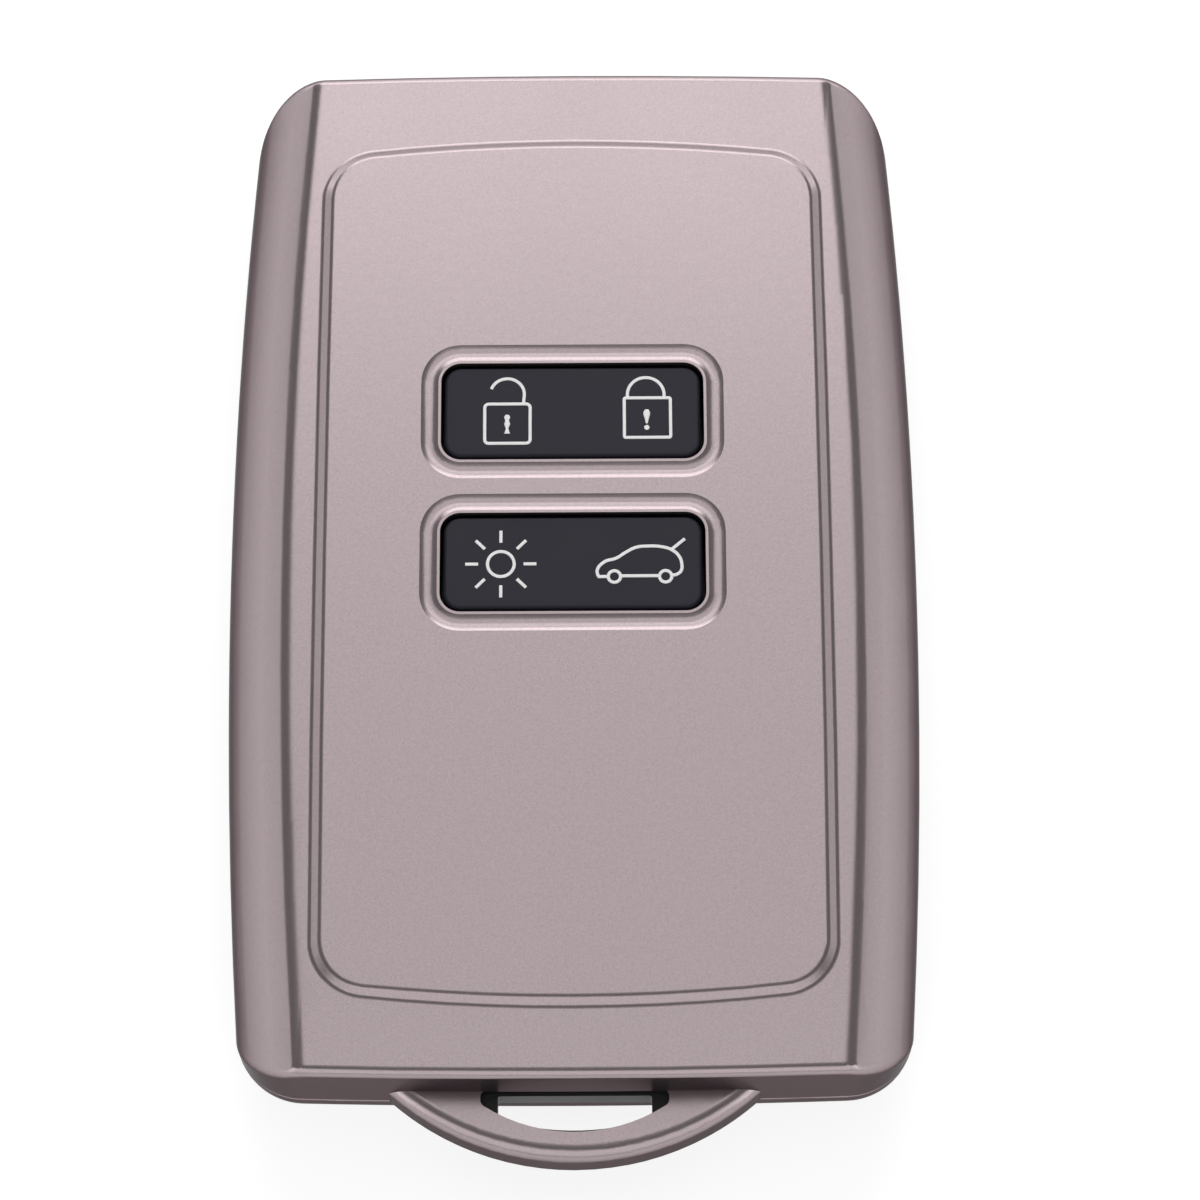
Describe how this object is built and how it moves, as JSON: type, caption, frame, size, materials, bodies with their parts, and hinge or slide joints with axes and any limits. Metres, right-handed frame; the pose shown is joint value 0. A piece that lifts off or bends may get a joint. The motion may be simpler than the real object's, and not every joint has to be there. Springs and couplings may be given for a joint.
{
  "type": "key fob cover",
  "caption": "Two-piece snap cover closed around a card-shaped car key, with raised front panel, windows over the key's rocker buttons and a slotted lanyard tab.",
  "frame": {"origin": "on the back face, under the middle of the outline, lanyard tab included", "axes": "+Z out of the front face, +Y towards the top edge, away from the lanyard tab, +X to the right"},
  "size_m": [0.0514, 0.0834, 0.0136],
  "materials": {
    "cover_paint": "satin metallic paint, mauve",
    "key_black": "fine matt texture, black",
    "pad_charcoal": "smooth matt, charcoal",
    "frame_plastic": "moulded, dark grey",
    "carbon": "carbon loaded rubber",
    "board_laminate": "solder mask, green",
    "gilt": "gold plated",
    "chip_epoxy": "moulded epoxy",
    "can_steel": "bright steel",
    "ferrite": "cast block",
    "blade_steel": "nickel plated, brushed"
  },
  "bodies": {
    "rear_cover_and_key": {"rear_shell": "cover_paint", "key_front_case": "key_black", "key_rear_case": "key_black", "keypad_frame": "frame_plastic", "circuit_board": "board_laminate", "contact_pads": "gilt", "controller_chip": "chip_epoxy", "radio_chip": "chip_epoxy", "crystal_can": "can_steel", "antenna_block": "ferrite", "coin_cell": "can_steel", "positive_contact": "blade_steel", "negative_contact": "blade_steel", "key_blade": "blade_steel", "blade_head": "key_black"},
    "front_cover": {"front_shell": "cover_paint"},
    "upper_rocker": {"upper_button_pad": "pad_charcoal", "upper_contact_pills": "carbon"},
    "lower_rocker": {"lower_button_pad": "pad_charcoal", "lower_contact_pills": "carbon"}
  },
  "joints": [
    {"name": "front_lift", "type": "slide", "parent": "rear_cover_and_key", "child": "front_cover", "axis": [0, 0, 1], "range_m": [0, 0.03]},
    {"name": "upper_rock", "type": "hinge", "parent": "rear_cover_and_key", "child": "upper_rocker", "pos_m": [0, 0.01345, 0.01], "axis": [0, 1, 0], "range_deg": [-2.8, 2.8], "stiffness_Nm_per_rad": 0.24},
    {"name": "lower_rock", "type": "hinge", "parent": "rear_cover_and_key", "child": "lower_rocker", "pos_m": [0, 0.00155, 0.01], "axis": [0, 1, 0], "range_deg": [-2.8, 2.8], "stiffness_Nm_per_rad": 0.24}
  ]
}
